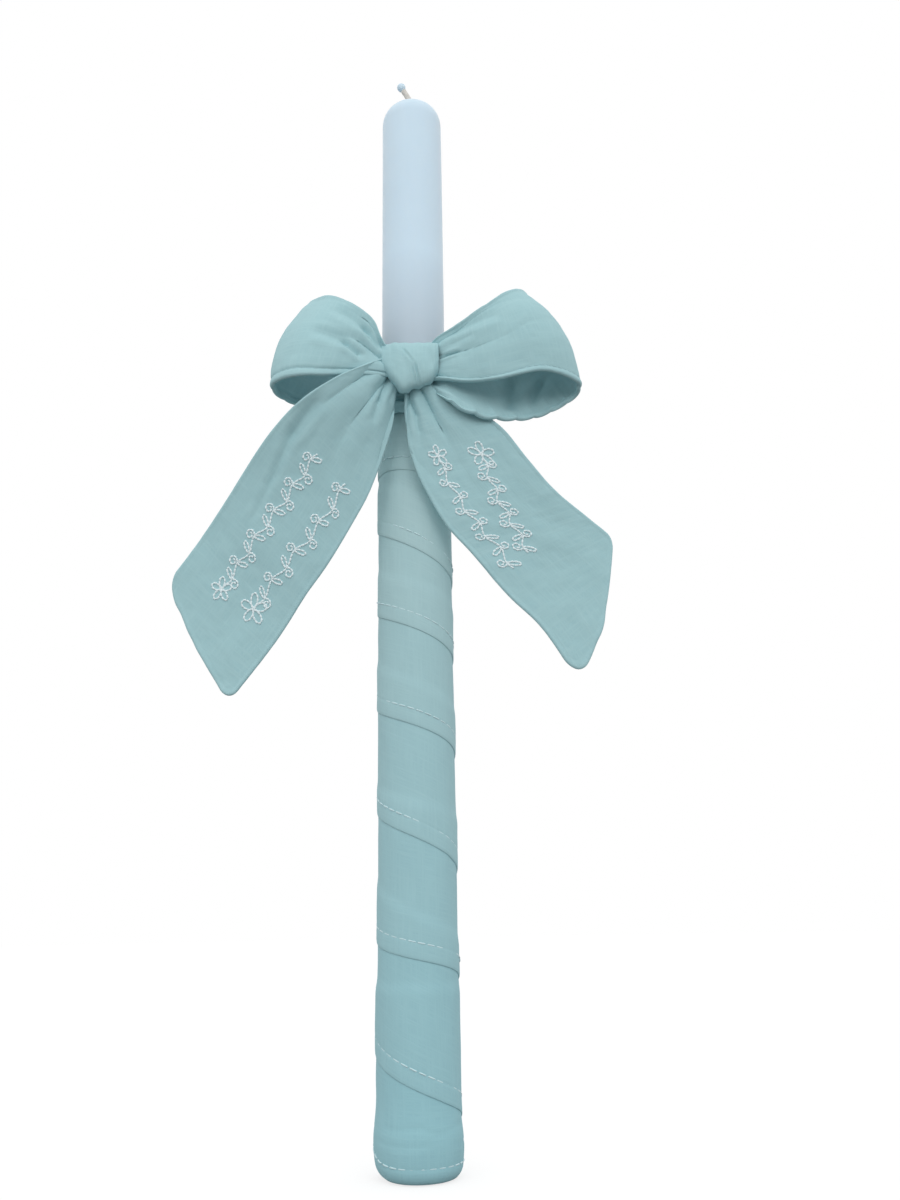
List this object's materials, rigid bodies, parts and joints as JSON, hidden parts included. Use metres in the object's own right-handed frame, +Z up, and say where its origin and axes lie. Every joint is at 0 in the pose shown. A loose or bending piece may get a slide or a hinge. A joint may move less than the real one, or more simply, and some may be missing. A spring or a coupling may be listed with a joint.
{
  "type": "communion candle",
  "caption": "Tall white candle wound in a pale blue-green muslin ribbon and tied with a muslin bow, free-standing on its covered base.",
  "frame": {"origin": "centre of the covered base, where the candle stands", "axes": "+Z up along the candle, -Y the way the bow faces, +X to the bow's right loop as seen from the front"},
  "size_m": [0.1925, 0.0705, 0.5159],
  "materials": {
    "wax": "cast paraffin wax, smooth and satin, white with a cool cast",
    "wick_cotton": "plaited cotton wick stiffened with wax",
    "muslin": "plain-woven muslin, pale blue-green, matt with a slubby thread"
  },
  "bodies": {
    "root": {"candle_body": "wax", "wick": "wick_cotton", "wick_wax_tip": "wax", "wrap_ribbon": "muslin", "base_cover": "muslin", "bow_collar": "muslin", "bow_knot": "muslin", "bow_loop_left": "muslin", "bow_loop_right": "muslin", "bow_tail_left": "muslin", "bow_tail_right": "muslin"}
  },
  "joints": []
}
